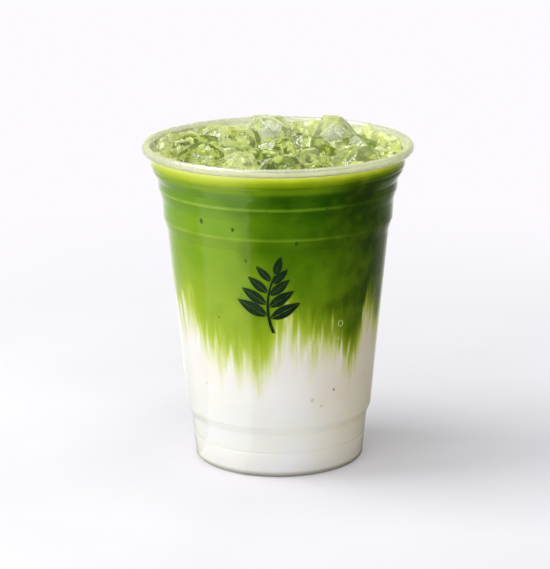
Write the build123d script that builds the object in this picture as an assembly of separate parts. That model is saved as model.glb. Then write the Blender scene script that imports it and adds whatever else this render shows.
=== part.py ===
from build123d import *

import math
import os
from collections import namedtuple

# An iced matcha latte in a clear disposable cup: a thin cup with a curled lip, a layer of
# milk, a layer of matcha on top of it and a heap of ice that floats in the matcha.
# Millimetres, +Z up, with the origin at the centre of the foot ring's underside.

# ---- the cup ----
RIM_R = 49.0  # to the outside of the curled lip
HEIGHT = 117.0  # foot to the top of the lip
FOOT_R = 30.7  # outside of the foot ring
WALL = 0.5  # thickness, measured level through the wall and upright through the base
LIP_R = 1.6  # section radius of the curl
LIP_TURN = 300  # degrees that the curl goes round
CORNER_R = 0.6  # where the wall changes slope
HEEL_R = 0.9  # foot ring to wall

# The base panel is raised inside the foot ring.
FOOT_WIDTH = 2.8
PUNT_RISE = 2.4
PUNT_SLOPE = 3.4  # level width of the slope up to the panel

# Low on the wall: a groove all round, and a step where the wall widens.
FOOT_DRAFT = 0.1  # widening of the foot band for each unit of height
GROOVE_Z = 9.0
GROOVE_WIDTH = 1.4
GROOVE_DEPTH = 0.25
STEP_Z = 16.4
STEP_RISE = 3.2
STEP_OUT = 1.1

# High on the wall: the long taper ends at a ledge, with four upright bands above it, each
# given by the drop of its lower edge below the rim, its height, and its inset from the rim.
LEDGE_DROP = 31.0
LEDGE_INSET = 8.75
BAND_DRAFT = 0.05
Band = namedtuple("Band", "drop height inset")
LOW_BAND = Band(26.7, 6.6, 7.4)
MIDDLE_BAND = Band(15.6, 3.0, 5.7)
SHOULDER_BAND = Band(9.3, 1.3, 3.7)
MOUTH_BAND = Band(7.4, 3.0, 3.0)
BANDS = (LOW_BAND, MIDDLE_BAND, SHOULDER_BAND, MOUTH_BAND)

# ---- the drink ----
FILL_DROP = 3.5  # rim to the level of the drink
FILM = 0.05  # clearance between the drink and the cup
MIX_Z = 50.0  # where matcha meets milk, on average
TONGUES = 18  # fingers of matcha that sink into the milk, all round the wall
TONGUE_RISE = 9.0  # how far milk climbs between them at most
TONGUE_FALL = 12.0  # how far they sink at most
CORE_R = 24.0  # inside this the two meet level

# ---- the ice ----
ICE_SIZE = 16.5
ICE_GAP = 0.6  # between neighbours
ICE_WALL_GAP = 0.4  # to the cup
ICE_RING_INSET = 8.0  # outer ring's centres, in from where the ice may reach
OUTER_BEARING = 50.0
INNER_BEARING = 100.0
# How far each lump stands out of the drink, anticlockwise from its ring's bearing.
OUTER_LIFTS = (7.0, 2.2, 2.4, 6.6, 5.2, 1.6, 7.6, 7.0, 7.4, 3.6, 5.8, 4.6, 4.8)
INNER_LIFTS = (10.4, 6.8, 6.2, 5.0, 3.6, 4.4, 6.2)
CENTRE_LIFT = 5.4
ICE_TILT = 18.0  # degrees off upright at most
ICE_CHIPS = 7  # broken corners on a lump
CHIP_DEPTH = 0.54  # from a lump's centre to a broken corner, in lump sizes
GOLDEN = 137.508  # degrees, spreads a run of directions evenly

LEVEL = HEIGHT - FILL_DROP


def wobble(seed):
    """A repeatable number from -1 to 1 that looks random from one seed to the next."""
    return math.sin(seed * 12.9898 + 4.1) * math.cos(seed * 7.233 + 1.7)


# ---------------------------------------------------------------- cup section
def wall_points():
    """Corners of the wall's outer face, from the groove up to the curl."""

    def foot_band(z):
        return FOOT_R + FOOT_DRAFT * z

    low, high = GROOVE_Z - GROOVE_WIDTH / 2, GROOVE_Z + GROOVE_WIDTH / 2
    step_top = STEP_Z + STEP_RISE
    points = [
        (foot_band(low), low),
        (foot_band(GROOVE_Z) - GROOVE_DEPTH, GROOVE_Z),
        (foot_band(high), high),
        (foot_band(STEP_Z), STEP_Z),
        (foot_band(step_top) + STEP_OUT, step_top),
        (RIM_R - LEDGE_INSET, HEIGHT - LEDGE_DROP),
    ]
    for band in BANDS:
        r, z = RIM_R - band.inset, HEIGHT - band.drop
        points += [(r, z), (r + BAND_DRAFT * band.height, z + band.height)]
    return points + [(RIM_R - 2 * LIP_R + WALL, HEIGHT - LIP_R)]


def wall_radius(z):
    """Outer radius of the wall at a height, without its rounded corners."""
    points = [(FOOT_R, 0)] + wall_points()
    for (r0, z0), (r1, z1) in zip(points, points[1:]):
        if z <= z1:
            return r0 + (r1 - r0) * (z - z0) / (z1 - z0)
    return points[-1][0]


def skin(inset):
    """Section line this far inside the cup's outer face, from the base's centre to the curl."""
    foot_inside = FOOT_R - FOOT_WIDTH
    base = [(0, PUNT_RISE), (foot_inside - PUNT_SLOPE, PUNT_RISE), (foot_inside, 0)]
    points = [(r, z + inset) for r, z in base]
    points += [(FOOT_R - inset, inset)]
    points += [(r - inset, z) for r, z in wall_points()]
    corners = len(points) - 2
    radii = [CORNER_R, CORNER_R, HEEL_R] + [CORNER_R] * (corners - 3)
    return FilletPolyline(*points, radius=radii)


def turned(outline):
    """Solid of revolution about Z from a closed outline drawn as radius across, height up."""
    return revolve(Plane.XZ * make_face(outline), Axis.Z)


def make_cup():
    """Thin wall, raised base and open curl in one piece."""
    centre = (RIM_R - LIP_R, HEIGHT - LIP_R)
    outside, inside = skin(0), skin(WALL)
    under = CenterArc(centre, LIP_R - WALL, 180, -LIP_TURN)
    over = CenterArc(centre, LIP_R, 180, -LIP_TURN)
    curl_end = Line(under @ 1, over @ 1)
    axis_line = Line(outside @ 0, inside @ 0)
    return turned([outside, under, curl_end, over, inside, axis_line])


# ---------------------------------------------------------------- drink
def make_drink():
    """Everything inside the cup up to the level, as one solid."""
    line = skin(WALL + FILM)
    top = line @ 1
    outline = [line, Line(top, (0, top.Y)), Line((0, top.Y), line @ 0)]
    return split(turned(outline), bisect_by=Plane.XY.offset(LEVEL), keep=Keep.BOTTOM)


def tongue_height(step):
    """Height of the boundary at the wall: even steps are milk's peaks, odd ones are tongues."""
    if step % 2:
        return -TONGUE_FALL * (0.6 + 0.4 * wobble(step))
    return TONGUE_RISE * (0.55 + 0.45 * wobble(step))


def make_milk_block():
    """Block whose top is the boundary between the layers, and which is wider than the cup."""
    steps = 2 * TONGUES
    wall_r = wall_radius(MIX_Z) - WALL
    block_r = wall_radius(MIX_Z + 2 * TONGUE_RISE) + 2
    reach = (block_r - CORE_R) / (wall_r - CORE_R)

    def ring(radius, heights):
        turns = [2 * math.pi * i / steps for i in range(steps)]
        return [
            Vector(radius * math.cos(a), radius * math.sin(a), z)
            for a, z in zip(turns, heights)
        ]

    core = ring(CORE_R, [MIX_Z] * steps)
    edge = ring(block_r, [MIX_Z + reach * tongue_height(i) for i in range(steps)])
    foot = ring(block_r, [-1] * steps)
    faces = [Face(Wire.make_polygon(core)), Face(Wire.make_polygon(foot))]
    for i in range(steps):
        j = (i + 1) % steps
        for corners in (
            (core[i], edge[i], edge[j]),
            (core[i], edge[j], core[j]),
            (edge[i], foot[i], foot[j], edge[j]),
        ):
            faces.append(Face(Wire.make_polygon(corners)))
    return Solid(Shell(faces))


# ---------------------------------------------------------------- ice
def ice_places():
    """Centre and lift of every lump: an outer ring, a ring half as wide and one in the middle."""
    bound = wall_radius(LEVEL - ICE_SIZE) - WALL - ICE_WALL_GAP
    outer_r = bound - ICE_RING_INSET
    places = []
    for radius, bearing, lifts in (
        (outer_r, OUTER_BEARING, OUTER_LIFTS),
        (outer_r / 2, INNER_BEARING, INNER_LIFTS),
        (0, 0, (CENTRE_LIFT,)),
    ):
        for i, lift in enumerate(lifts):
            turn = math.radians(bearing + (i + 0.1 * wobble(i + 3)) * 360 / len(lifts))
            r = radius * (1 + 0.05 * wobble(i + 40))
            places.append((Vector(r * math.cos(turn), r * math.sin(turn), 0), lift))
    return bound, places


def cell_planes(bound, centre, others):
    """Upright planes, facing out, that keep a lump off its neighbours and off the wall."""
    planes = []
    for other in others:
        way = other - centre
        middle = centre + way * 0.5 - way.normalized() * (ICE_GAP / 2)
        planes.append(Plane(middle, z_dir=way))
    sides = 24
    outward = math.degrees(math.atan2(centre.Y, centre.X))
    flat_r = bound * math.cos(math.pi / sides)
    for k in (-3, -2, -1, 0, 1, 2, 3):
        turn = math.radians(outward + k * 360 / sides)
        way = Vector(math.cos(turn), math.sin(turn), 0)
        planes.append(Plane(way * flat_r, z_dir=way))
    return planes


def chip_planes(centre, size, seed):
    """Planes that break corners off a lump, in directions spread evenly over a sphere."""
    planes = []
    for k in range(ICE_CHIPS):
        turn = math.radians(k * GOLDEN + 57 * seed)
        rise = 1 - (2 * k + 1) / ICE_CHIPS
        flat = math.sqrt(1 - rise * rise)
        way = Vector(flat * math.cos(turn), flat * math.sin(turn), rise)
        distance = size * (CHIP_DEPTH + 0.05 * wobble(seed + 9 * k))
        planes.append(Plane(centre + way * distance, z_dir=way))
    return planes


def make_lump(seed, centre, lift, cutters):
    """One lump of ice: a tilted block with broken corners, cut to its own cell."""
    size = [ICE_SIZE * (0.92 + 0.1 * wobble(seed + 20 * k)) for k in range(3)]
    tilt = [ICE_TILT * wobble(seed + 30 * k + 5) for k in range(2)]
    block = Rot(tilt[0], tilt[1], 67 * seed) * Box(*size)
    block = Pos(centre) * block
    for plane in chip_planes(centre, ICE_SIZE, seed) + cutters:
        block = split(block, bisect_by=plane, keep=Keep.BOTTOM)
    top = block.bounding_box().max.Z
    return Pos(0, 0, LEVEL + lift - top) * block


def make_ice():
    """Every lump, numbered round the outer ring first."""
    bound, places = ice_places()
    lumps = []
    for i, (centre, lift) in enumerate(places):
        others = [other for other, _ in places if other is not centre]
        cutters = cell_planes(bound, centre, others)
        lumps.append(make_lump(i + 1, centre, lift, cutters))
    return lumps


# ---------------------------------------------------------------- all nodes
def only_solid(shape):
    """The one solid of a shape."""
    solids = shape.solids()
    assert len(solids) == 1, f"expected one solid, found {len(solids)}"
    return solids[0]


drink = make_drink()
milk_block = make_milk_block()
ice = make_ice()

nodes = {"cup": make_cup(), "milk": drink & milk_block, "matcha": drink - milk_block - ice}
for number, lump in enumerate(ice, start=1):
    nodes[f"ice_{number:02d}"] = lump

os.makedirs("parts", exist_ok=True)
for name, shape in nodes.items():
    solid = only_solid(shape)
    export_step(solid, f"parts/{name}.step")
    print(f"{name}: {solid.volume / 1000:.2f} ml, valid {solid.is_valid}")
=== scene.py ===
"""Dresses the packed iced matcha latte: clear cup, milk under matcha, ice, print, light and camera."""
import math

import bmesh
import bpy
import numpy as np
from mathutils import Matrix, Vector, noise
from mathutils.bvhtree import BVHTree


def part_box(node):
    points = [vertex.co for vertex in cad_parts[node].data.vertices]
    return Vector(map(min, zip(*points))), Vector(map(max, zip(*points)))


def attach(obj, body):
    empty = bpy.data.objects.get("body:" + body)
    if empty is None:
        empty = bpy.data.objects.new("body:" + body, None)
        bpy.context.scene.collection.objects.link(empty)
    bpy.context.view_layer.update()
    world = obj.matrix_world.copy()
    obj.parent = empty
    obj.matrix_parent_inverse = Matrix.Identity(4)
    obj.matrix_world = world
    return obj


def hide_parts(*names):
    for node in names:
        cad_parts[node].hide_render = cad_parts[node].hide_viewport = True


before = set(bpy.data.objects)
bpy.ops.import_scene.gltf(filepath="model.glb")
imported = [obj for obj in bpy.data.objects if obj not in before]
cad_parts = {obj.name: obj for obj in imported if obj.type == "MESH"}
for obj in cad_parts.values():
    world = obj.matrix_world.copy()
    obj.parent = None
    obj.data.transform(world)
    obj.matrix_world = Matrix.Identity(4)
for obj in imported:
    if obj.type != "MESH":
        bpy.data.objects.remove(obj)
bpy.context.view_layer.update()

# Lengths are in mm until a mesh is made.
MM = 0.001
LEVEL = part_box("matcha")[1].z / MM        # where the drink meets the air
ICE_NODES = sorted(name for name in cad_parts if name.startswith("ice_"))

SHARP_ANGLE = 60                          # edges that fold more than this many degrees stay sharp
CUP_COLUMNS = 192
LIP_FROM = LEVEL + 0.4                    # above this the cup's wall is milkier
DISC_CELLS = 150                          # cells across the drink's top
COLUMNS = 4 * DISC_CELLS                  # so that the drink's side meets its top vertex to vertex
REACH = 0.25                              # how far the drink goes into the wall, so no air shows
PLAIN_WALL = (25.0, 80.0)                 # the smooth stretch of wall, which the plumes stay on
PLAIN_STEPS = 16                          # rings of the drink's side on that stretch
WALL_CLIMB, WALL_CLIMB_WIDTH = 2.0, 1.0   # the drink creeps up the wall
ICE_CLIMB, ICE_CLIMB_WIDTH = 0.5, 0.8     # and up the ice
NEAR_ICE, FAR_FROM_ICE = 3.0, 9.0         # reach round a lump's box, and the way to it beyond that
ICE_SKIN = 0.35                           # the drink reaches this far into the ice that floats in it
BOWL_DEPTH = 7.0                          # how deep the drink under a lump can be seen
TOP_RIPPLE, TOP_RIPPLE_SCALE = 0.12, 0.5
OWN_SHARE, NEIGHBOUR_SHARE = 0.6, 0.1     # how the heights of the drink's top are softened

ICE_DETAIL = 6                            # how often the ball under a lump is split
ICE_ROUNDING = 40                         # higher is sharper
ICE_RIPPLE, ICE_RIPPLE_SCALE = 0.25, 0.23
ICE_CUTS, CUT_SHARES = 9, (0.72, 0.94)    # broken faces on a lump, beyond those of its CAD solid
ICE_ROOFS, ROOF_SHARES = 4, (0.6, 0.84)   # broken faces that slant off its top
ROOF_SLANTS = (22, 62)                    # degrees from the upright
# Lumps whose broken faces are chosen: the way that each looks, and the share that it leaves
OWN_CUTS = {
    "ice_01": ((-0.66, -0.2, 0.72, 0.66), (0.72, -0.15, 0.68, 0.6), (0.1, -0.8, 0.6, 0.74)),
    "ice_11": (
        (-0.6, -0.3, 0.74, 0.62), (0.55, -0.5, 0.66, 0.66), (0.1, 0.7, 0.7, 0.7),
        (-0.1, -0.9, 0.4, 0.74),
    ),
    "ice_14": (
        (-0.78, -0.2, 0.6, 0.74), (0.62, -0.12, 0.78, 0.68), (0.75, -0.4, 0.5, 0.76),
        (-0.1, -0.8, 0.6, 0.76),
    ),
}
OWN_ROUNDING = {"ice_14": 22}
CLOUDY_ICE = ("ice_02", "ice_04", "ice_08", "ice_11", "ice_13", "ice_16", "ice_18", "ice_20")
WHITE_ICE = ("ice_01", "ice_14")
CRACKED_ICE = ("ice_01", "ice_11", "ice_14")
CRACKS, MANY_CRACKS = 3, 6                # in a lump, and in one of those
CHIPS, CHIP_TRIES = 44, 3000
CHIP_SIZES, CHIP_FILL = (0.9, 3.2), 0.92  # a splinter fills this share of its gap
CHIP_DETAIL, CHIP_FACES = 4, 11
CHIP_ROUNDING, CHIP_RIPPLE = 12, 0.05
CHIP_SHARES, CHIP_LIFT = (0.72, 1.0), (-0.2, 0.5)
SMALL_DETAIL = 2                          # how often the ball under a bubble or a grain is split
AIR_COUNTS, AIR_SPREAD = (7, 14), (0.1, 0.62)
AIR_SIZES, AIR_STRETCH = (0.12, 0.38), (1.2, 3.0)
CRACK_POINTS, CRACK_THICKNESS = 36, 0.12
SEEDS = {
    "chip places": 5, "chip shapes": 8, "ice air": 21, "ice cracks": 33, "tea": 12, "wall bubbles": 17,
}

MILK_LINE = 49.0                          # mean height of the line between milk and matcha
# Where that line leaves its mean: bearing from the front in degrees, rise in mm (below 0 where matcha
# sinks into the milk) and half width in degrees
PLUMES = (
    (-13, -8.5, 7), (-24, -4, 4), (-36, -4, 6), (-62, 11, 13), (-78, 5, 6), (-86, 7, 11),
    (6, 6.5, 6), (24, 2, 7), (45, -8, 6), (61, 8, 8), (33, 1.5, 5), (84, 4, 7),
    (104, -9, 6), (122, 9, 8), (141, -6, 7), (163, 6, 6), (-171, -10, 6), (-150, 8, 9),
    (-127, -8, 7), (-108, 5, 6),
)


# ---------------- meshes

def add_piece(name, points, faces, materials, slot, stands_for=(), face_kinds=None):
    """One smooth mesh piece from points in mm, riding on the only body."""
    mesh = bpy.data.meshes.new(name)
    mesh.from_pydata([tuple(p) for p in np.asarray(points) * MM], [], [tuple(f) for f in faces])
    mesh.polygons.foreach_set("use_smooth", [True] * len(mesh.polygons))
    if face_kinds is not None:
        mesh.polygons.foreach_set("material_index", face_kinds)
    for material in materials:
        mesh.materials.append(material)
    mesh.validate()
    mesh.set_sharp_from_angle(angle=math.radians(SHARP_ANGLE))
    piece = bpy.data.objects.new(name, mesh)
    bpy.context.scene.collection.objects.link(piece)
    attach(piece, "root")
    if stands_for:
        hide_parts(*stands_for)


def joined(parts):
    """The points and faces of several (points, faces) shapes as one."""
    points, faces, start = [], [], 0
    for part_points, part_faces in parts:
        points.append(np.asarray(part_points))
        faces += [tuple(v + start for v in face) for face in part_faces]
        start += len(part_points)
    return np.vstack(points), faces


def ring_faces(lower, upper):
    """Quads between two closed rings of vertex numbers that run anticlockwise."""
    count = len(lower)
    return [(lower[k], lower[(k + 1) % count], upper[(k + 1) % count], upper[k]) for k in range(count)]


def fan_faces(pole, ring, upward):
    """Triangles that shut a ring with one point, facing up or down."""
    count = len(ring)
    pairs = [(ring[k], ring[(k + 1) % count]) for k in range(count)]
    return [(pole, a, b) if upward else (pole, b, a) for a, b in pairs]


def loft(rings):
    """A skin over closed rings of points, with faces that look outward where the rings go up."""
    rings = np.asarray(rings)
    rows, columns = rings.shape[:2]
    numbers = np.arange(rows * columns).reshape(rows, columns)
    faces = []
    for row in range(rows - 1):
        faces += ring_faces(numbers[row].tolist(), numbers[row + 1].tolist())
    return rings.reshape(-1, 3), faces, numbers


def turn(outline, angles):
    """Rings for an outline of (radius, height) turned round the axis."""
    radius, height = np.asarray(outline).T
    return np.stack([
        radius[:, None] * np.cos(angles),
        radius[:, None] * np.sin(angles),
        np.repeat(height[:, None], len(angles), 1),
    ], axis=2)


def unit_ball(detail):
    """Directions and triangles of an even ball."""
    ball = bmesh.new()
    bmesh.ops.create_icosphere(ball, subdivisions=detail, radius=1)
    points = np.array([v.co for v in ball.verts])
    faces = [tuple(v.index for v in f.verts) for f in ball.faces]
    ball.free()
    return points / np.linalg.norm(points, axis=1)[:, None], faces


# ---------------- the cup

def seam(node):
    """A turned CAD node's outline where its mesh crosses the half plane y = 0, x > 0."""
    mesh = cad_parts[node].data
    places = {}
    number = [
        places.setdefault(tuple(np.round(np.array(v.co) / MM, 4) + 0.0), len(places))
        for v in mesh.vertices
    ]
    points = np.array(list(places))
    on_seam = (abs(points[:, 1]) < 1e-3) & (points[:, 0] > 0)
    beside = {}
    for edge in mesh.edges:
        a, b = (number[v] for v in edge.vertices)
        if a != b and on_seam[a] and on_seam[b]:
            beside.setdefault(a, set()).add(b)
            beside.setdefault(b, set()).add(a)
    ends = [k for k, near in beside.items() if len(near) == 1]
    chain = [min(ends, key=lambda k: points[k, 2])]
    while True:
        onward = [k for k in beside[chain[-1]] if k not in chain[-2:]]
        if not onward:
            return points[chain][:, [0, 2]]
        chain.append(onward[0])


def make_cup(outline, material, lip_material):
    """The clear cup, with a milkier finish where its curled lip is thick."""
    angles = np.arange(CUP_COLUMNS) * math.tau / CUP_COLUMNS
    points, faces, numbers = loft(turn(outline, angles))
    poles = [(0, 0, outline[0][1]), (0, 0, outline[-1][1])]
    faces += fan_faces(len(points), numbers[0].tolist(), upward=False)
    faces += fan_faces(len(points) + 1, numbers[-1].tolist(), upward=True)
    points = np.vstack([points, poles])
    kinds = [int(points[list(face), 2].min() > LIP_FROM) for face in faces]
    add_piece("cup_wall", points, faces, [material, lip_material], "cup", ["cup"], kinds)


def wall_at(outline, height, inner):
    """The radius of the cup's wall at a height on its plain stretch."""
    side = outline[::-1] if inner else outline
    for (r0, z0), (r1, z1) in zip(side, side[1:]):
        if z0 < height <= z1:
            return r0 + (r1 - r0) * (height - z0) / (z1 - z0)
    raise ValueError(f"no wall at {height}")


# ---------------- milk and matcha

def drink_outline(cup_outline):
    """The drink's side from the cup's floor up to the level, moved a little into the wall."""
    inside = cup_outline[::-1]
    stop = next(i for i, (_, z) in enumerate(inside) if z > LEVEL)
    below, above = inside[stop - 1], inside[stop]
    share = (LEVEL - below[1]) / (above[1] - below[1])
    points = np.vstack([inside[:stop], below + share * (above - below)])
    along = np.gradient(points, axis=0)
    along /= np.linalg.norm(along, axis=1)[:, None]
    outward = np.stack([along[:, 1], -along[:, 0]], axis=1)
    return points + REACH * outward


def milk_line(bearing):
    """Height of the line between milk and matcha at a bearing from the front, in degrees."""
    height = np.full_like(np.asarray(bearing, float), MILK_LINE)
    for middle, rise, width in PLUMES:
        away = (bearing - middle + 180) % 360 - 180
        height += rise * np.exp(-((away / width) ** 2))
    return height


def bearing_of(angle):
    """Degrees from the front, which looks to -Y, positive towards +X."""
    return (np.degrees(angle) + 90 + 180) % 360 - 180


def plain_rings(outline, lower, upper, angles):
    """Rings on the plain wall between two heights that may differ from column to column."""
    r0, z0 = [p for p in outline if p[1] < PLAIN_WALL[0]][-1]
    r1, z1 = [p for p in outline if p[1] > PLAIN_WALL[1]][0]
    rings = []
    for share in np.linspace(0, 1, PLAIN_STEPS):
        height = lower + (upper - lower) * share
        radius = r0 + (r1 - r0) * (height - z0) / (z1 - z0)
        rings.append(np.stack([radius * np.cos(angles), radius * np.sin(angles), height], axis=1))
    return rings


def disc_grid():
    """An even square grid bent into a unit disc, and its border from -45 degrees anticlockwise."""
    across = np.linspace(-1, 1, DISC_CELLS + 1)
    a, b = np.meshgrid(across, across, indexing="ij")
    wide = abs(a) > abs(b)
    radius = np.where(wide, a, b)
    safe_a, safe_b = np.where(a == 0, 1, a), np.where(b == 0, 1, b)
    angle = np.where(wide, math.pi / 4 * b / safe_a, math.pi / 2 - math.pi / 4 * a / safe_b)
    spots = np.stack([radius * np.cos(angle), radius * np.sin(angle)], axis=2)
    numbers = np.arange(spots.shape[0] ** 2).reshape(spots.shape[:2])
    border = np.concatenate([numbers[-1, :-1], numbers[:0:-1, -1], numbers[0, :0:-1], numbers[:-1, 0]])
    faces = [
        (numbers[i, j], numbers[i + 1, j], numbers[i + 1, j + 1], numbers[i, j + 1])
        for i in range(DISC_CELLS)
        for j in range(DISC_CELLS)
    ]
    return spots.reshape(-1, 2), faces, border


def column_angles():
    """Where the columns of the drink's side stand."""
    return math.radians(-45) + np.arange(COLUMNS) * math.tau / COLUMNS


def sunken_height(x, y, lumps):
    """How high the drink stands at a spot: down in a bowl under ice, or creeping up beside it."""
    lowest, nearest = LEVEL, FAR_FROM_ICE
    for tree, low, high in lumps:
        if low[0] < x < high[0] and low[1] < y < high[1]:
            place = tree.ray_cast(Vector((x, y, low[2] - 1)), Vector((0, 0, 1)))[0]
            if place is not None:
                lowest = min(lowest, place.z + ICE_SKIN)
        beside = low[0] - NEAR_ICE < x < high[0] + NEAR_ICE
        if beside and low[1] - NEAR_ICE < y < high[1] + NEAR_ICE:
            nearest = min(nearest, tree.find_nearest(Vector((x, y, LEVEL)))[3])
    if lowest < LEVEL:
        return -BOWL_DEPTH * math.tanh((LEVEL - lowest) / BOWL_DEPTH)
    return ICE_CLIMB * math.exp(-nearest / ICE_CLIMB_WIDTH)


def top_heights(spots, edge, lumps):
    """Heights of the drink's top at spots in mm, softened a little."""
    heights = np.array([sunken_height(x, y, lumps) for x, y in spots])
    side = DISC_CELLS + 1
    field = np.pad(heights.reshape(side, side), 1, mode="edge")
    near = field[:-2, 1:-1] + field[2:, 1:-1] + field[1:-1, :-2] + field[1:-1, 2:]
    heights = (OWN_SHARE * field[1:-1, 1:-1] + NEIGHBOUR_SHARE * near).reshape(-1)
    inward = edge - np.hypot(*spots.T)
    heights += WALL_CLIMB * np.exp(-inward / WALL_CLIMB_WIDTH)
    heights += [TOP_RIPPLE * noise.noise(Vector((x, y, 3)) * TOP_RIPPLE_SCALE) for x, y in spots]
    return LEVEL + heights


def make_matcha(outline, lumps, side_material, top_material):
    """The matcha: its side, its free surface round the ice, and a cone that shuts it below."""
    angles = column_angles()
    line = milk_line(bearing_of(angles))
    upper = [p for p in outline if p[1] > PLAIN_WALL[1]]
    rings = plain_rings(outline, line, np.full(COLUMNS, PLAIN_WALL[1]), angles)
    rings += list(turn(upper[:-1], angles))
    side, faces, numbers = loft(rings)
    edge = upper[-1][0]
    spots, grid_faces, border = disc_grid()
    spots = spots * edge
    top = np.column_stack([spots, top_heights(spots, edge, lumps)])
    start = len(side)
    faces += ring_faces(numbers[-1].tolist(), (border + start).tolist())
    pole = start + len(top)
    faces += fan_faces(pole, numbers[0].tolist(), upward=False)
    side_count = len(faces)
    faces += [tuple(v + start for v in face) for face in grid_faces]
    kinds = [0] * side_count + [1] * len(grid_faces)
    points = np.vstack([side, top, (0, 0, MILK_LINE)])
    add_piece("matcha_body", points, faces, [side_material, top_material], "matcha", ["matcha"], kinds)


def make_milk(outline, material):
    """The milk under that line, shut by a cone of its own."""
    angles = column_angles()
    line = milk_line(bearing_of(angles))
    lower = [p for p in outline if p[1] < PLAIN_WALL[0]]
    rings = list(turn(lower, angles))
    rings += plain_rings(outline, np.full(COLUMNS, PLAIN_WALL[0]), line, angles)
    points, faces, numbers = loft(rings)
    poles = [(0, 0, lower[0][1]), (0, 0, MILK_LINE)]
    faces += fan_faces(len(points), numbers[0].tolist(), upward=False)
    faces += fan_faces(len(points) + 1, numbers[-1].tolist(), upward=True)
    add_piece("milk_body", np.vstack([points, poles]), faces, [material], "milk", ["milk"])


# ---------------- ice

def flat_faces(node):
    """A CAD lump's middle, and the outward directions and distances of its flat faces."""
    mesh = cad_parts[node].data
    middle = np.mean([v.co for v in mesh.vertices], axis=0) / MM
    found = []
    for face in mesh.polygons:
        normal = np.array(face.normal)
        distance = float(normal @ (np.array(face.center) / MM - middle))
        known = any(normal @ other > 0.9995 for other, _ in found)
        if face.area > 1e-9 and not known:
            found.append((normal, distance))
    normals, distances = zip(*found)
    return middle, np.array(normals), np.array(distances)


def chosen_cuts(draws):
    """Directions of a lump's broken faces, with the share of its reach that each leaves."""
    cuts = draws.normal(size=(ICE_CUTS, 3))
    cuts /= np.linalg.norm(cuts, axis=1)[:, None]
    spread = np.arange(ICE_ROOFS) + draws.uniform(-0.3, 0.3, ICE_ROOFS)
    turns = math.tau * spread / ICE_ROOFS + draws.uniform(0, 6)
    slants = np.radians(draws.uniform(*ROOF_SLANTS, ICE_ROOFS))
    flat = np.sin(slants)
    roofs = np.stack([flat * np.cos(turns), flat * np.sin(turns), np.cos(slants)], axis=1)
    cut_shares = draws.uniform(*CUT_SHARES, ICE_CUTS)
    roof_shares = draws.uniform(*ROOF_SHARES, ICE_ROOFS)
    return np.vstack([cuts, roofs]), np.concatenate([cut_shares, roof_shares])


def broken(node, normals, distances, ball, seed):
    """The lump's flat faces and those that break its corners off, as directions and distances."""
    directions, _ = ball
    reach = 1 / (np.clip(directions @ normals.T, 0, None) / distances).max(axis=1)
    points = directions * reach[:, None]
    cuts, shares = chosen_cuts(np.random.default_rng(seed))
    if node in OWN_CUTS:
        own = np.array(OWN_CUTS[node])
        cuts = own[:, :3] / np.linalg.norm(own[:, :3], axis=1)[:, None]
        shares = own[:, 3]
    depths = (points @ cuts.T).max(axis=0) * shares
    return np.vstack([normals, cuts]), np.concatenate([distances, depths])


def melted(middle, normals, distances, ball, rounding=ICE_ROUNDING, ripple=ICE_RIPPLE):
    """A rounded, rippled lump that stays inside those flat faces."""
    directions, faces = ball
    pull = np.clip(directions @ normals.T, 0, None) / distances
    radius = (pull ** rounding).sum(axis=1) ** (-1 / rounding)
    points = directions * radius[:, None]
    waves = np.array([noise.noise(Vector(p + middle) * ICE_RIPPLE_SCALE) for p in points])
    points *= (1 - ripple * (0.5 + waves) / radius)[:, None]
    return points + middle, faces


def lump_tree(points, faces):
    """What is needed to find a lump's underside: a search tree and its box."""
    return BVHTree.FromPolygons(points.tolist(), faces), points.min(axis=0), points.max(axis=0)


def chip_places(lumps, edge):
    """Gaps between the lumps at the drink's level, as (x, y, size of the splinter there)."""
    draws = np.random.default_rng(SEEDS["chip places"])
    places = []
    for _ in range(CHIP_TRIES):
        radius, angle = edge * math.sqrt(draws.random()), math.tau * draws.random()
        spot = Vector((radius * math.cos(angle), radius * math.sin(angle), LEVEL))
        room = min(edge - radius, *(tree.find_nearest(spot)[3] for tree, _, _ in lumps))
        inside = any(
            tree.ray_cast(spot, Vector((0, 0, 1)))[0] is not None
            and tree.ray_cast(spot, Vector((0, 0, -1)))[0] is not None
            for tree, _, _ in lumps
        )
        if not inside and room > CHIP_SIZES[0]:
            places.append((room, spot.x, spot.y))
    kept = []
    for room, x, y in sorted(places, reverse=True):
        size = min(room * CHIP_FILL, CHIP_SIZES[1])
        if all(math.hypot(x - a, y - b) > size + other for a, b, other in kept):
            kept.append((x, y, size))
    return kept[:CHIPS]


def chip_shapes(places, ball):
    """Splinters of ice that float between the lumps."""
    draws = np.random.default_rng(SEEDS["chip shapes"])
    shapes = []
    for x, y, size in places:
        normals = draws.normal(size=(CHIP_FACES, 3))
        normals /= np.linalg.norm(normals, axis=1)[:, None]
        normals = np.vstack([normals, np.eye(3), -np.eye(3)])
        distances = size * draws.uniform(*CHIP_SHARES, len(normals))
        middle = np.array([x, y, LEVEL + draws.uniform(*CHIP_LIFT) * size])
        shapes.append(melted(middle, normals, distances, ball, CHIP_ROUNDING, CHIP_RIPPLE))
    return shapes


def air_shapes(cores, ball):
    """Air caught in the lumps: small long bubbles round the middle of each."""
    draws = np.random.default_rng(SEEDS["ice air"])
    directions, faces = ball
    shapes = []
    for middle, reach, _ in cores:
        for _ in range(int(draws.integers(*AIR_COUNTS))):
            way = draws.normal(size=3)
            way /= np.linalg.norm(way)
            spot = middle + way * reach * draws.uniform(*AIR_SPREAD)
            size = draws.uniform(*AIR_SIZES) * np.array([1, 1, draws.uniform(*AIR_STRETCH)])
            shapes.append((directions * size + spot, faces))
    return joined(shapes)


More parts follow.
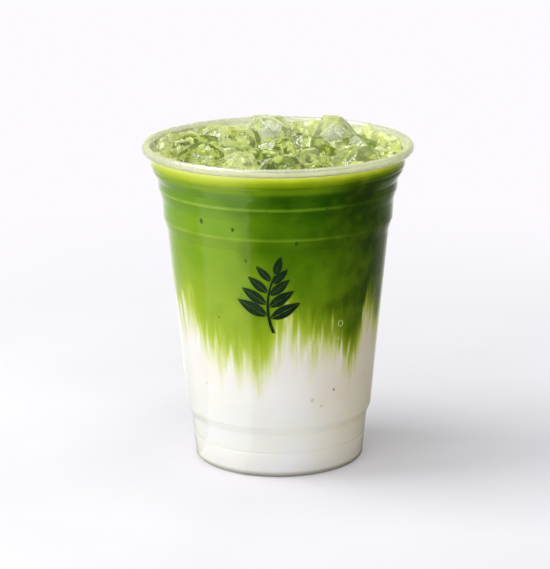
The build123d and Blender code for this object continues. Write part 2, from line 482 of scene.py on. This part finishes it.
def crack_sheet(size, phase):
    """A thin, slightly cupped sheet with a ragged edge, flat on its own x and y."""
    around = np.arange(CRACK_POINTS) * math.tau / CRACK_POINTS
    half = CRACK_THICKNESS / 2
    ragged = 1 + 0.25 * np.sin(3 * around + phase) + 0.12 * np.sin(7 * around)
    rings = []
    for share, thick in ((0.999, 0.0), (0.7, 0.04), (0.35, half)):
        lift = 0.35 * size * share ** 2
        rings.append([
            (size * share * f * math.cos(t), size * 0.7 * share * f * math.sin(t), lift + thick)
            for t, f in zip(around, ragged)
        ])
    front = np.array(rings)
    back = front[:0:-1] - (0, 0, CRACK_THICKNESS)
    points, faces, numbers = loft(np.concatenate([back, front]))
    poles = [(0, 0, -half), (0, 0, half)]
    faces += fan_faces(len(points), numbers[0].tolist(), upward=False)
    faces += fan_faces(len(points) + 1, numbers[-1].tolist(), upward=True)
    return np.vstack([points, poles]), faces


def crack_shapes(cores):
    """White cracks in the lumps, tilted every way round the middle of each."""
    draws = np.random.default_rng(SEEDS["ice cracks"])
    shapes = []
    for middle, reach, cracks in cores:
        for _ in range(cracks):
            tilt = Matrix.Rotation(draws.uniform(0, math.pi), 3, Vector(draws.normal(size=3)))
            spot = middle + draws.uniform(-0.25, 0.25, 3) * reach
            size = reach * draws.uniform(0.28, 0.5)
            points, faces = crack_sheet(size, draws.uniform(0, 6))
            shapes.append((points @ np.array(tilt).T + spot, faces))
    return joined(shapes)


# ---------------- small things at the wall

def on_wall(u, v, radius_at, bearing, height, out):
    """A place on the wall from u round it and v up it in mm, measured from a bearing and a height."""
    z = height + v
    radius = radius_at(z) + out
    angle = math.radians(bearing - 90) + u / radius
    return radius * math.cos(angle), radius * math.sin(angle), z


def slab(left, right, place, thin=0.05):
    """A thin closed strip between two rows of (u, v) points, which place puts on the wall."""
    rows = len(left)
    points = [place(*p, out) for out in (thin, 0.0) for row in (left, right) for p in row]
    faces = []
    for k in range(rows - 1):
        front = (k, rows + k, rows + k + 1, k + 1)
        faces.append(front)
        faces.append(tuple(v + 2 * rows for v in reversed(front)))
        faces.append((k, k + 1, k + 1 + 2 * rows, k + 2 * rows))
        faces.append((rows + k + 1, rows + k, 3 * rows + k, 3 * rows + k + 1))
    last = rows - 1
    faces.append((rows, 0, 2 * rows, 3 * rows))
    faces.append((last, rows + last, 3 * rows + last, 2 * rows + last))
    return np.array(points), faces


def leaf(root, heading, length, width, place):
    """Two halves of a pointed leaf with a bare vein between them."""
    share = np.linspace(0, 1, 17)
    spine = np.array(root) + np.outer(share * length, (math.cos(heading), math.sin(heading)))
    across = np.array((-math.sin(heading), math.cos(heading)))
    half = width / 2 * np.sin(math.pi * share ** 0.8) ** 0.9
    vein = 0.13 * (1 - 0.6 * share)
    outer = np.maximum(half, vein + 0.02)
    above = slab(spine + outer[:, None] * across, spine + vein[:, None] * across, place)
    below = slab(spine - vein[:, None] * across, spine - outer[:, None] * across, place)
    return [above, below]


def make_print(radius_at, material):
    """A plain sprig of leaves in dark ink, where the cup carries its print."""
    bearing, height = -3.5, 70.0
    lean, bend, shift = 0.16, 0.02, 1.2
    pairs, gap = 4, 0.02
    stem_foot, stem_top = -14.0, 7.5

    def place(u, v, out):
        return on_wall(u, v, radius_at, bearing, height, gap + out)

    def stem_at(v):
        return lean * v + bend * v * v - shift

    rows = np.linspace(stem_foot, stem_top, 25)
    middle = np.array([(stem_at(v), v) for v in rows])
    thick = np.linspace(0.6, 0.26, len(rows))[:, None] * (1, 0)
    shapes = [slab(middle - thick, middle + thick, place)]
    for k in range(pairs):
        length = 12.0 - 1.5 * k
        for side in (1, -1):
            v = -8.5 + 4.3 * k + (1.0 if side < 0 else 0.0)
            heading = math.radians(90 - side * (62 - 6 * k))
            root = (stem_at(v) + side * 0.6, v)
            shapes += leaf(root, heading, length, 0.36 * length, place)
    tip = stem_top + 0.2
    shapes += leaf((stem_at(tip), tip), math.radians(72), 7.0, 2.9, place)
    points, faces = joined(shapes)
    add_piece("wall_print", points, faces, [material], "cup")


def make_flecks(radius_at, material):
    """Grains of tea that didn't dissolve, just inside the wall."""
    draws = np.random.default_rng(SEEDS["tea"])
    seen = [(-40, 95.5, 0.75), (-22.5, 93.8, 0.55), (9, 89.2, 0.7), (23, 101, 0.45), (34, 32.5, 0.3)]
    strewn = [
        (draws.uniform(-180, 180), draws.uniform(60, 108), draws.uniform(0.16, 0.45))
        for _ in range(50)
    ]
    directions, faces = unit_ball(SMALL_DETAIL)
    half = 0.11
    shapes = []
    for bearing, height, size in seen + strewn:
        lumpy = 1 + 0.5 * (draws.random(len(directions)) - 0.5)
        flat = directions * lumpy[:, None] * size * (1, half / size, draws.uniform(0.6, 1.5))
        points = [on_wall(x, z, radius_at, bearing, height, REACH + y) for x, y, z in flat]
        shapes.append((np.array(points), faces))
    points, faces = joined(shapes)
    add_piece("tea_flecks", points, faces, [material], "matcha")


def bubble_ring(bearing, height, size, radius_at):
    """The rim of a bubble that clings to the wall."""
    around = np.arange(24) * math.tau / 24
    tube = np.arange(8) * math.tau / 8
    thick = 0.1 + 0.08 * size
    spread = size + thick * np.cos(tube)
    out = [REACH + thick * math.sin(a) for a in tube]
    rings = []
    for t in around:
        u, v = math.cos(t), 1.15 * math.sin(t)
        rings.append([
            on_wall(u * s, v * s, radius_at, bearing, height, o) for s, o in zip(spread, out)
        ])
    points, faces, numbers = loft(rings)
    return points, faces + ring_faces(numbers[-1].tolist(), numbers[0].tolist())


def make_wall_bubbles(radius_at, material):
    """A few bubbles that cling to the wall in the milk."""
    draws = np.random.default_rng(SEEDS["wall bubbles"])
    seen = [(36, 57.5, 0.95), (35.2, 52.0, 0.4), (20, 29.5, 0.45), (26, 27, 0.3)]
    strewn = [
        (draws.uniform(-180, 180), draws.uniform(26, 62), draws.uniform(0.12, 0.3)) for _ in range(9)
    ]
    shapes = [bubble_ring(*spot, radius_at) for spot in seen + strewn]
    points, faces = joined(shapes)
    add_piece("wall_bubbles", points, faces, [material], "milk")


# ---------------- materials

def tone(red, green, blue):
    """A colour given as 8-bit sRGB, as Blender wants it."""
    shares = [c / 255 for c in (red, green, blue)]
    linear = [c / 12.92 if c <= 0.04045 else ((c + 0.055) / 1.055) ** 2.4 for c in shares]
    return (*linear, 1.0)


class Nodes:
    """Builds one node tree. Most calls add a node and give back the socket to read."""

    def __init__(self, owner):
        owner.use_nodes = True
        self.tree = owner.node_tree
        self.tree.nodes.clear()

    def add(self, kind, feeds=(), **settings):
        made = self.tree.nodes.new("ShaderNode" + kind)
        for name, value in settings.items():
            setattr(made, name, value)
        for socket, value in dict(feeds).items():
            if isinstance(value, bpy.types.NodeSocket):
                self.tree.links.new(value, made.inputs[socket])
            else:
                made.inputs[socket].default_value = value
        return made

    def math(self, operation, *values):
        return self.add("Math", enumerate(values), operation=operation).outputs[0]

    def span(self, value, low, high, to_low=0.0, to_high=1.0):
        feeds = enumerate((value, low, high, to_low, to_high))
        return self.add("MapRange", feeds, interpolation_type="SMOOTHSTEP").outputs[0]

    def grain(self, place, scale, detail=2.0):
        feeds = {"Vector": place, "Scale": scale, "Detail": detail}
        return self.add("TexNoise", feeds).outputs[0]

    def mix(self, share, first, second, blend="MIX"):
        feeds = {0: share, 6: first, 7: second}
        return self.add("Mix", feeds, data_type="RGBA", blend_type=blend).outputs[2]

    def ramp(self, value, stops):
        """Colours by value, from (value, colour) stops in rising order."""
        low, high = stops[0][0], stops[-1][0]
        even = self.math("DIVIDE", self.math("SUBTRACT", value, low), high - low)
        made = self.add("ValToRGB", {0: even})
        band = made.color_ramp.elements
        band.remove(band[1])
        band[0].position = 0.0
        for at, _ in stops[1:]:
            band.new((at - low) / (high - low))
        for element, (_, colour) in zip(band, stops):
            element.color = colour
        return made.outputs[0]

    def bump(self, height, depth):
        """A normal roughened by height, where depth is the height of a full step in metres."""
        return self.add("Bump", {"Height": height, "Distance": depth, "Strength": 1.0}).outputs[0]

    def show(self, shader, kind="Material"):
        self.add("Output" + kind, {"Surface": shader})


def place_in_mm(nodes):
    """The place on the piece in mm, as one vector and as x, y and z."""
    place = nodes.add("TexCoord").outputs["Object"]
    grown = nodes.add("VectorMath", {0: place, "Scale": 1 / MM}, operation="SCALE").outputs[0]
    return grown, nodes.add("SeparateXYZ", {0: grown}).outputs


def milk_line_node(nodes, x, y):
    """The height of the milk's line at this place's bearing."""
    angle = nodes.math("ARCTAN2", x, nodes.math("MULTIPLY", y, -1.0))
    share = nodes.math("ADD", nodes.math("DIVIDE", angle, math.tau), 0.5)
    made = nodes.add("FloatCurve", {1: share})
    points = made.mapping.curves[0].points
    steps, tallest = 120, 100.0
    for k in range(steps + 1):
        at = k / steps
        height = float(milk_line(360 * at - 180)) / tallest
        if k in (0, steps):
            points[-1 if k else 0].location = (at, height)
        else:
            points.new(at, height)
    made.mapping.update()
    return nodes.math("MULTIPLY", made.outputs[0], tallest)


# The matcha's colour at heights in mm: on the window's side, and on the other, where it is denser and
# darker with painted shade. The bright lines, where the thick plastic at the corners of the wall's bands
# gathers light, are painted highlights, and the dark bands just under them are painted shade. The pale
# tones near the level are partly thin liquid and partly painted light from above.
BODY_TONES = (
    (50.0, (168, 191, 44), (104, 138, 12)),
    (62.0, (160, 186, 40), (94, 131, 10)),
    (70.0, (144, 176, 36), (90, 128, 10)),
    (78.0, (136, 171, 31), (80, 120, 7)),
    (86.0, (132, 168, 28), (72, 112, 6)),
    (89.6, (130, 166, 26), (70, 110, 6)),
    (90.3, (152, 184, 56), (104, 144, 24)),
    (91.2, (126, 165, 26), (64, 106, 5)),
    (97.0, (122, 163, 26), (58, 100, 4)),
    (100.7, (112, 154, 26), (44, 90, 3)),
    (101.4, (154, 186, 60), (106, 146, 24)),
    (102.3, (110, 154, 30), (38, 86, 2)),
    (106.4, (116, 156, 32), (44, 90, 3)),
    (107.9, (134, 168, 34), (100, 140, 12)),
    (109.1, (150, 178, 34), (116, 150, 14)),
    (109.7, (144, 172, 24), (84, 122, 6)),
    (110.4, (172, 192, 28), (126, 156, 12)),
    (111.5, (192, 206, 60), (152, 174, 18)),
    (112.4, (208, 219, 92), (184, 198, 36)),
    (113.3, (224, 230, 130), (214, 219, 84)),
    (114.3, (228, 233, 158), (222, 228, 142)),
    (117.0, (234, 238, 196), (230, 234, 188)),
)

# The colour by height over the milk's line in mm, from plain milk to matcha
BLEND_TONES = (
    (-13.0, (250, 246, 236)), (-9.0, (246, 243, 224)), (-6.0, (236, 237, 200)),
    (-3.0, (226, 231, 168)), (0.0, (206, 219, 122)), (4.0, (178, 200, 66)),
    (9.0, (160, 187, 40)), (16.0, (146, 178, 36)),
)


def streak_place(nodes, x, y, z):
    """A place for noise that runs up the wall in streaks."""
    flat = nodes.add("CombineXYZ", {0: x, 1: y}).outputs[0]
    ring = nodes.add("VectorMath", {0: flat}, operation="NORMALIZE").outputs[0]
    wall = nodes.add("VectorMath", {0: ring, "Scale": 40.0}, operation="SCALE").outputs[0]
    drawn = nodes.add("CombineXYZ", {2: nodes.math("MULTIPLY", z, 0.13)}).outputs[0]
    return nodes.add("VectorMath", {0: wall, 1: drawn}, operation="ADD").outputs[0]


def wavering(nodes, grain, size):
    """Noise from 0 to 1 turned into one that goes half of size each way."""
    return nodes.math("MULTIPLY", nodes.math("SUBTRACT", grain, 0.5), size)


def rise_over_line(nodes, x, y, z):
    """How far a place is over the milk's line in mm, once streaks and wisps have blurred the line."""
    streaks = streak_place(nodes, x, y, z)
    wide = wavering(nodes, nodes.grain(streaks, 0.2), 17.0)
    fine = wavering(nodes, nodes.grain(streaks, 0.62), 8.0)
    rise = nodes.math("SUBTRACT", z, milk_line_node(nodes, x, y))
    rise = nodes.math("ADD", rise, nodes.math("ADD", wide, fine))
    wisps = nodes.span(nodes.grain(streaks, 0.42, 1.0), 0.48, 0.8)
    calm = nodes.span(nodes.math("ABSOLUTE", nodes.math("ADD", x, 9.0)), 3.0, 9.0, 0.3, 1.0)
    reach = nodes.math("MULTIPLY", nodes.span(rise, 7.0, 17.0, 12.0, 0.0), calm)
    return nodes.math("SUBTRACT", rise, nodes.math("MULTIPLY", wisps, reach))


def milk_colour(nodes, x, z, rise, clouds):
    """Milk with the matcha that mixes into it, darker at its foot and warmer on the side away from the
    window, both painted shade.
    """
    milk = nodes.mix(nodes.span(clouds, 0.35, 0.65), tone(248, 243, 235), tone(252, 249, 244))
    # painted shade at the very foot
    milk = nodes.mix(nodes.span(z, 0.8, 2.4), tone(190, 184, 172), milk)
    blend = nodes.ramp(rise, [(at, tone(*colour)) for at, colour in BLEND_TONES])
    low = nodes.mix(nodes.span(rise, -14.0, -9.0), milk, blend)
    # painted warm shade on the side away from the window
    return nodes.mix(nodes.span(x, 0.0, 36.0, 0.0, 0.85), low, tone(244, 236, 212), "MULTIPLY")


def matcha_colour(nodes, place, x, z, clouds):
    """Matcha with fresh green patches, denser and darker with painted shade on the side away from the
    window.
    """
    light = nodes.ramp(z, [(at, tone(*pale)) for at, pale, _ in BODY_TONES])
    # the tones away from the window: denser matcha and painted shade
    dense_and_shaded = nodes.ramp(z, [(at, tone(*dark)) for at, _, dark in BODY_TONES])
    fresh = nodes.span(nodes.grain(place, 0.09), 0.5, 0.66, 0.0, 0.5)
    fresh = nodes.math("MULTIPLY", fresh, nodes.span(z, 106.0, 110.0, 1.0, 0.0))
    light = nodes.mix(fresh, light, tone(112, 158, 8))
    sideways = nodes.math("ADD", x, wavering(nodes, clouds, 40.0))
    body = nodes.mix(nodes.span(sideways, -24.0, 2.0), light, dense_and_shaded)
    # painted shade on the side away from the window, which fades out just under the lip
    under_lip = nodes.span(z, 108.0, 113.0, 1.0, 0.15)
    shaded = nodes.math("MULTIPLY", nodes.span(sideways, 4.0, 34.0, 0.0, 0.9), under_lip)
    body = nodes.mix(shaded, body, tone(32, 56, 2))
    mottle = nodes.span(nodes.grain(place, 0.12), 0.35, 0.7, 0.0, 0.2)
    return nodes.mix(mottle, body, light)


def drink_colour(nodes):
    """Milk below, matcha above and plumes of both between, by place alone."""
    place, (x, y, z) = place_in_mm(nodes)
    clouds = nodes.grain(place, 0.05)
    rise = rise_over_line(nodes, x, y, z)
    low = milk_colour(nodes, x, z, rise, clouds)
    body = matcha_colour(nodes, place, x, z, clouds)
    densely = nodes.math("ADD", rise, nodes.span(x, -4.0, 22.0, 0.0, 10.0))
    return nodes.mix(nodes.span(densely, 6.0, 26.0), low, body)


def drink_side_material():
    """The drink against the wall: no gloss of its own, and soaked with light near its top and foot."""
    material = bpy.data.materials.new("drink_side")
    nodes = Nodes(material)
    height = nodes.add("SeparateXYZ", {0: nodes.add("TexCoord").outputs["Object"]}).outputs[2]
    at_top = nodes.span(height, (LEVEL - 16) * MM, (LEVEL - 3) * MM, 0.0, 0.9)
    at_foot = nodes.span(height, 25 * MM, 33 * MM, 0.85, 0.0)
    glow = nodes.math("MAXIMUM", at_top, at_foot)
    shader = nodes.add("BsdfPrincipled", {
        "Base Color": drink_colour(nodes), "Roughness": 0.7, "Specular IOR Level": 0.0,
        "Subsurface Weight": glow, "Subsurface Radius": (1.0, 1.0, 0.7), "Subsurface Scale": 0.007,
    })
    nodes.show(shader.outputs[0])
    return material


# The free surface by height over the level in mm, from under the ice to what creeps up the wall; the
# deeper under the ice, the darker its painted shade
TOP_TONES = (
    (-9.0, (140, 166, 34)), (-5.5, (186, 204, 86)), (-3.0, (210, 221, 132)),
    (-1.2, (216, 224, 148)), (-0.3, (217, 224, 156)), (0.15, (218, 224, 164)),
    (1.0, (224, 228, 190)),
)


def matcha_top_material():
    """The drink's free surface: pale where it is thin or foamy, with painted olive shade down beside the
    ice.
    """
    material = bpy.data.materials.new("matcha_top")
    nodes = Nodes(material)
    place, (_, _, z) = place_in_mm(nodes)
    deep = nodes.math("SUBTRACT", z, LEVEL)
    patches = nodes.grain(place, 0.35, 4.0)
    foam = nodes.grain(place, 2.4)
    by_depth = nodes.ramp(deep, [(at, tone(*colour)) for at, colour in TOP_TONES])
    # painted shade: dark olive patches where the drink lies deep under the ice
    under_ice = nodes.span(deep, -2.6, -0.6, 0.95, 0.4)
    dark = nodes.math("MULTIPLY", under_ice, nodes.span(patches, 0.48, 0.53))
    colour = nodes.mix(dark, by_depth, tone(76, 108, 2))
    colour = nodes.mix(nodes.span(foam, 0.55, 0.75, 0.0, 0.35), colour, tone(226, 230, 180))
    bump = nodes.bump(nodes.math("ADD", foam, patches), 0.00022)
    shader = nodes.add("BsdfPrincipled", {
        "Base Color": colour, "Roughness": 0.32, "Specular IOR Level": 0.4, "Normal": bump,
    })
    nodes.show(shader.outputs[0])
    return material


def clear_material(name, ior, roughness, colour, ripple_scale, ripple_depth, shade, clearness=1.0):
    """A glass-like finish that lets light straight through to what is behind it."""
    material = bpy.data.materials.new(name)
    nodes = Nodes(material)
    place, _ = place_in_mm(nodes)
    bump = nodes.bump(nodes.grain(place, ripple_scale, 3.0), ripple_depth)
    clouds = nodes.span(nodes.grain(place, 0.2), 0.4, 0.7)
    shader = nodes.add("BsdfPrincipled", {
        "Base Color": nodes.mix(clouds, *colour), "Roughness": roughness, "IOR": ior,
        "Transmission Weight": clearness, "Normal": bump,
    })
    through = nodes.add("BsdfTransparent", {0: shade})
    path = nodes.add("LightPath").outputs
    soft = nodes.math("MAXIMUM", path["Is Shadow Ray"], path["Is Diffuse Ray"])
    both = nodes.add("MixShader", {0: soft, 1: shader.outputs[0], 2: through.outputs[0]})
    nodes.show(both.outputs[0])
    return material


def solid_material(name, first, second, scale, roughness, specular=0.5):
    """An opaque finish that wanders between two colours."""
    material = bpy.data.materials.new(name)
    nodes = Nodes(material)
    place, _ = place_in_mm(nodes)
    colour = nodes.mix(nodes.span(nodes.grain(place, scale, 3.0), 0.35, 0.65), first, second)
    shader = nodes.add("BsdfPrincipled", {
        "Base Color": colour, "Roughness": roughness, "Specular IOR Level": specular,
    })
    nodes.show(shader.outputs[0])
    return material


def veil_material():
    """Cracked ice: white, and mostly see-through."""
    material = bpy.data.materials.new("ice_crack")
    nodes = Nodes(material)
    place, _ = place_in_mm(nodes)
    share = nodes.span(nodes.grain(place, 0.9, 3.0), 0.35, 0.7, 0.5, 0.97)
    shader = nodes.add("BsdfPrincipled", {"Base Color": tone(246, 249, 240), "Roughness": 0.4})
    through = nodes.add("BsdfTransparent")
    both = nodes.add("MixShader", {0: share, 1: shader.outputs[0], 2: through.outputs[0]})
    nodes.show(both.outputs[0])
    return material


PLASTIC_IOR, ICE_IOR = 1.45, 1.31
PLASTIC_SHADE = (0.97, 0.97, 0.97, 1)     # what is left of light that goes straight through
ICE_SHADE = (0.97, 0.985, 0.86, 1)
WHITE_SHADE = (0.97, 0.985, 0.9, 1)


def make_finishes():
    """Every finish, by what it is for."""
    return {
        "cup": clear_material(
            "cup_plastic", PLASTIC_IOR, 0.07, (tone(252, 253, 252), tone(248, 250, 249)),
            0.08, 0.00006, PLASTIC_SHADE,
        ),
        "lip": clear_material(
            "cup_lip", PLASTIC_IOR, 0.24, (tone(242, 243, 224), tone(234, 237, 212)),
            0.08, 0.00001, PLASTIC_SHADE, clearness=0.86,
        ),
        "clear ice": clear_material(
            "ice", ICE_IOR, 0.03, (tone(252, 254, 236), tone(244, 250, 204)),
            0.3, 0.0003, ICE_SHADE, clearness=0.98,
        ),
        "cloudy ice": clear_material(
            "ice_cloudy", ICE_IOR, 0.05, (tone(246, 250, 220), tone(234, 241, 176)),
            0.3, 0.0004, ICE_SHADE, clearness=0.86,
        ),
        "white ice": clear_material(
            "ice_white", ICE_IOR, 0.05, (tone(254, 255, 246), tone(244, 249, 222)),
            0.3, 0.0005, WHITE_SHADE, clearness=0.86,
        ),
        "drink side": drink_side_material(),
        "drink top": matcha_top_material(),
        "wall bubbles": solid_material("bubble_rim", tone(206, 218, 150), tone(180, 200, 110), 1.2, 0.3),
        "tea": solid_material("tea_grain", tone(46, 80, 14), tone(66, 100, 20), 2.5, 0.8, 0.1),
        "print": solid_material("green_ink", tone(8, 38, 12), tone(14, 50, 16), 0.5, 0.5, 0.3),
        "ice air": solid_material("ice_air", tone(250, 252, 246), tone(236, 243, 222), 2.0, 0.35),
        "ice cracks": veil_material(),
    }


# ---------------- stage

PAPER = tone(252, 250, 254)
FLOOR_SIZE, FLOOR_DROP = 8.0, 0.0002      # in metres, a hair under the cup
PALE_STONE, DARK_STONE = (0.67, 0.662, 0.69, 1), (0.61, 0.605, 0.63, 1)
STONE_LIFT = (0.98, 0.975, 1.0, 1)        # added where it is seen, to bring it near the paper
GLOSS_SCALE = 1.3
ROOM = (                                  # its light in a mirror, by bearing from the front
    (-180, (0.9, 0.9, 0.88)), (-150, (0.8, 0.8, 0.78)), (-124, (0.4, 0.42, 0.36)),
    (-89, (0.3, 0.34, 0.24)), (-84, (0.3, 0.34, 0.24)), (-79, (0.74, 0.81, 0.62)),
    (-29, (0.66, 0.74, 0.54)), (-26, (0.04, 0.05, 0.02)), (60, (0.04, 0.05, 0.02)),
    (110, (0.08, 0.08, 0.06)), (140, (0.3, 0.3, 0.26)), (162, (0.85, 0.85, 0.83)),
    (180, (0.9, 0.9, 0.88)),
)
FILL = (0.52, 0.52, 0.525, 1)             # the room's plain light on what isn't a mirror
ABOVE_DRINK = (0.96, 1.0, 0.2, 1)         # tints what the tops of the ice mirror of the room
SKY_GLOSS = (0.72, 0.78, 0.2, 1)          # the ceiling in a mirror
SKYLIGHT = (13.0, 13.0, 12.6, 1)          # and the bright patch of it that glints
LAMPS = (                                 # name, bearing, elevation, distance, size and watts
    ("window", -90, 52, 1.25, (0.7, 0.6), 9.3),
    ("front_fill", -30, 22, 1.3, (1.2, 0.8), 7.0),
)
LAMP_AIM = Vector((0, 0, 0.06))
CAMERA_PLACE = (0, -0.8753, 0.2979)
CAMERA_ANGLES = (14.977, -0.085, -0.312)  # degrees down, to the right and of roll
LENS, SENSOR = 156.7613, 36.0             # in mm, the sensor by its longer side


def ray_kinds(nodes):
    """The light path's outputs, and whether the camera sees this place, straight or through glass."""
    path = nodes.add("LightPath").outputs
    return path, nodes.math("MAXIMUM", path["Is Camera Ray"], path["Is Transmission Ray"])


def room_gloss(nodes, x, y):
    """How the room looks in a mirror: a window at the left, pale behind, dark in front and right."""
    angle = nodes.math("ARCTAN2", x, nodes.math("MULTIPLY", y, -1.0))
    bearing = nodes.math("MULTIPLY", angle, 180 / math.pi)
    colour = nodes.ramp(bearing, [(at, (*light, 1)) for at, light in ROOM])
    return nodes.mix(1.0, colour, (GLOSS_SCALE, GLOSS_SCALE, GLOSS_SCALE, 1), "MULTIPLY")


def make_world():
    """Plain soft light, a room with a skylight in mirrors, and paper behind everything."""
    world = bpy.data.worlds.new("room")
    bpy.context.scene.world = world
    nodes = Nodes(world)
    x, y, z = nodes.add("SeparateXYZ", {0: nodes.add("TexCoord").outputs["Generated"]}).outputs
    path, seen = ray_kinds(nodes)
    in_skylight = nodes.math("MULTIPLY", nodes.span(z, 0.72, 0.76), nodes.span(x, -0.2, -0.28))
    sky = nodes.mix(in_skylight, SKY_GLOSS, SKYLIGHT)
    room = room_gloss(nodes, x, y)
    tinted = nodes.mix(1.0, room, ABOVE_DRINK, "MULTIPLY")
    behind = nodes.mix(nodes.span(z, 0.05, 0.2), room, tinted)
    mirrored = nodes.mix(nodes.span(z, 0.35, 0.6), behind, sky)
    colour = nodes.mix(path["Is Glossy Ray"], FILL, mirrored)
    colour = nodes.mix(seen, colour, PAPER)
    nodes.show(nodes.add("Background", {0: colour}).outputs[0], "World")


def floor_material():
    """Pale stone near the cup, with painted shade close round its foot, that fades to paper, and shows
    the room where something mirrors it.
    """
    material = bpy.data.materials.new("floor")
    nodes = Nodes(material)
    place = nodes.add("TexCoord").outputs["Object"]
    x, y, _ = nodes.add("SeparateXYZ", {0: place}).outputs
    far = nodes.add("VectorMath", {0: place}, operation="LENGTH").outputs["Value"]
    marble = nodes.span(nodes.grain(place, 7.0, 5.0), 0.3, 0.7)
    path, seen = ray_kinds(nodes)
    diffuse = nodes.add("BsdfDiffuse", {0: nodes.mix(marble, DARK_STONE, PALE_STONE)})
    # less lift close to the cup, which paints shade round its foot
    lift_share = nodes.math("MULTIPLY", seen, nodes.span(far, 0.03, 0.1, 0.14, 0.25))
    lift = nodes.add("Emission", {0: STONE_LIFT, 1: lift_share})
    near = nodes.add("AddShader", {0: diffuse.outputs[0], 1: lift.outputs[0]})
    paper = nodes.add("Emission", {0: PAPER, 1: 1.0})
    fade = nodes.math("MULTIPLY", nodes.span(far, 0.055, 0.42), seen)
    table = nodes.add("MixShader", {0: fade, 1: near.outputs[0], 2: paper.outputs[0]})
    mirrored = nodes.add("Emission", {0: room_gloss(nodes, x, y), 1: 1.0})
    only_gloss = nodes.math("MULTIPLY", path["Is Glossy Ray"], nodes.math("SUBTRACT", 1.0, seen))
    all_rays = nodes.add("MixShader", {0: only_gloss, 1: table.outputs[0], 2: mirrored.outputs[0]})
    nodes.show(all_rays.outputs[0])
    return material


def make_floor():
    """The table under the cup, which keeps its shadow."""
    half = FLOOR_SIZE / 2
    mesh = bpy.data.meshes.new("floor")
    corners = [(-half, -half, 0), (half, -half, 0), (half, half, 0), (-half, half, 0)]
    mesh.from_pydata(corners, [], [(0, 1, 2, 3)])
    mesh.materials.append(floor_material())
    floor = bpy.data.objects.new("floor", mesh)
    floor.location.z = -FLOOR_DROP
    bpy.context.scene.collection.objects.link(floor)


def make_lamp(name, bearing, elevation, distance, size, power):
    """A soft lamp that looks at the cup, at a bearing from the front towards +X."""
    lamp = bpy.data.lights.new(name, "AREA")
    lamp.shape = "RECTANGLE"
    lamp.size, lamp.size_y = size
    lamp.energy = power
    holder = bpy.data.objects.new(name, lamp)
    a, e = math.radians(bearing - 90), math.radians(elevation)
    way = Vector((math.cos(e) * math.cos(a), math.cos(e) * math.sin(a), math.sin(e)))
    holder.location = LAMP_AIM + way * distance
    holder.rotation_euler = (-way).to_track_quat("-Z", "Y").to_euler()
    bpy.context.scene.collection.objects.link(holder)


def make_camera():
    """The photo's view: from in front and a little above, through a long lens."""
    pitch, yaw, roll = (math.radians(a) for a in CAMERA_ANGLES)
    ahead = Vector((
        math.sin(yaw) * math.cos(pitch), math.cos(yaw) * math.cos(pitch), -math.sin(pitch),
    ))
    right = ahead.cross(Vector((0, 0, 1))).normalized()
    up = right.cross(ahead)
    right, up = (
        math.cos(roll) * right + math.sin(roll) * up,
        math.cos(roll) * up - math.sin(roll) * right,
    )
    data = bpy.data.cameras.new("camera")
    data.sensor_width = SENSOR
    data.lens = LENS
    data.clip_start, data.clip_end = 0.05, 60.0
    camera = bpy.data.objects.new("camera", data)
    turned = Matrix((right, up, -ahead)).transposed().to_4x4()
    camera.matrix_world = Matrix.Translation(CAMERA_PLACE) @ turned
    bpy.context.scene.collection.objects.link(camera)
    bpy.context.scene.camera = camera


# ---------------- the whole thing

def make_ice(looks, edge):
    """The lumps, splinters, air and cracks. Gives back what the drink's surface goes round."""
    own_looks = {
        **dict.fromkeys(CLOUDY_ICE, looks["cloudy ice"]),
        **dict.fromkeys(WHITE_ICE, looks["white ice"]),
    }
    ball = unit_ball(ICE_DETAIL)
    lumps, cores = [], []
    for seed, node in enumerate(ICE_NODES):
        middle, normals, distances = flat_faces(node)
        normals, distances = broken(node, normals, distances, ball, seed)
        rounding = OWN_ROUNDING.get(node, ICE_ROUNDING)
        points, faces = melted(middle, normals, distances, ball, rounding)
        look = own_looks.get(node, looks["clear ice"])
        add_piece(node + "_melted", points, faces, [look], "ice", [node])
        lumps.append(lump_tree(points, faces))
        cracks = MANY_CRACKS if node in CRACKED_ICE else CRACKS
        cores.append((middle, float(distances.min()), cracks))
    chips = chip_shapes(chip_places(lumps, edge), unit_ball(CHIP_DETAIL))
    add_piece("ice_chips", *joined(chips), [looks["clear ice"]], "ice")
    add_piece("ice_air", *air_shapes(cores, unit_ball(SMALL_DETAIL)), [looks["ice air"]], "ice")
    add_piece("ice_cracks", *crack_shapes(cores), [looks["ice cracks"]], "ice")
    return lumps + [lump_tree(*chip) for chip in chips]


def make_drink():
    """The cup with all that is in it and on it."""
    cup_outline = seam("cup")
    outline = drink_outline(cup_outline)

    def outer(height):
        return wall_at(cup_outline, height, inner=False)

    def inner(height):
        return wall_at(cup_outline, height, inner=True)

    looks = make_finishes()
    make_cup(cup_outline, looks["cup"], looks["lip"])
    lumps = make_ice(looks, outline[-1][0] - REACH)
    make_milk(outline, looks["drink side"])
    make_matcha(outline, lumps, looks["drink side"], looks["drink top"])
    make_print(outer, looks["print"])
    make_flecks(inner, looks["tea"])
    make_wall_bubbles(inner, looks["wall bubbles"])


def build():
    """The drink, its table, light and camera."""
    make_camera()
    make_drink()
    make_world()
    make_floor()
    for lamp in LAMPS:
        make_lamp(*lamp)
    scene = bpy.context.scene
    scene.view_settings.view_transform = "Standard"
    scene.cycles.use_denoising = True


build()
